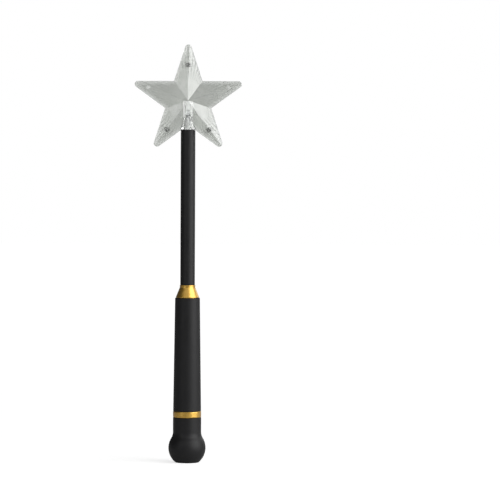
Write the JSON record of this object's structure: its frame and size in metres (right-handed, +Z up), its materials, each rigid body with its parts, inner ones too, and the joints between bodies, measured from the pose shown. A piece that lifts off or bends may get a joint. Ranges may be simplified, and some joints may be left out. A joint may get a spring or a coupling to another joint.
{
  "type": "light-up magic wand",
  "caption": "Light-up toy wand: a clear fluted star with a lamp on a black shaft, a gold ferrule, a tapered grip with a push button, and a ball pommel that unscrews for the cells.",
  "frame": {"origin": "centre of the pommel's flat foot, on the wand's axis", "axes": "+Z up the wand from the pommel to the star, -Y out of the star's front face, +Y out of the push button"},
  "size_m": [0.1064, 0.0372, 0.4171],
  "materials": {
    "black_plastic": "matt soft-touch moulding",
    "gold": "satin gold plating",
    "clear_plastic": "clear, polished, with moulded flutes",
    "lamp": "clear moulded lens",
    "steel": "nickel plated",
    "contact_metal": "plain rolled strip",
    "cell": "printed-film wrap, left plain",
    "board": "solder mask",
    "chip_black": "moulded package",
    "white_plastic": "moulded",
    "red_wire": "extruded insulation",
    "black_wire": "extruded insulation",
    "button_rubber": "matt moulded rubber"
  },
  "bodies": {
    "handle": {"grip_sleeve": "black_plastic", "gold_ring": "gold", "ferrule": "gold", "shaft_tube": "black_plastic", "star_neck": "clear_plastic", "star_led": "lamp", "led_plug": "white_plastic", "led_wire_red": "red_wire", "led_wire_black": "black_wire", "star_front": "clear_plastic", "star_back": "clear_plastic", "star_screw_1": "steel", "star_screw_2": "steel", "star_screw_3": "steel", "battery_lower": "cell", "battery_upper": "cell", "positive_contact": "contact_metal", "ground_strip": "contact_metal", "board_carrier": "white_plastic", "control_board": "board", "controller_chip": "chip_black", "radio_can": "steel", "switch_body": "chip_black"},
    "cap_contact": {"contact_cup": "contact_metal", "battery_spring": "steel"},
    "pommel": {"pommel_cap": "black_plastic"},
    "button": {"push_button": "button_rubber", "switch_plunger": "white_plastic"}
  },
  "joints": [
    {"name": "cap_travel", "type": "slide", "parent": "handle", "child": "cap_contact", "axis": [0, 0, -1], "range_m": [0, 0.006], "deforming": ["battery_spring"]},
    {"name": "cap_turn", "type": "hinge", "parent": "cap_contact", "child": "pommel", "pos_m": [0, 0, 0.03], "axis": [0, 0, -1], "range_deg": [0, 540]},
    {"name": "button_press", "type": "slide", "parent": "handle", "child": "button", "axis": [0, -1, 0], "range_m": [0, 0.0008], "stiffness_N_per_m": 1500, "springref_m": -0.0005}
  ],
  "couplings": [
    {"joint": "cap_travel", "follows": "cap_turn", "m_per_rad": 0.00063662}
  ]
}
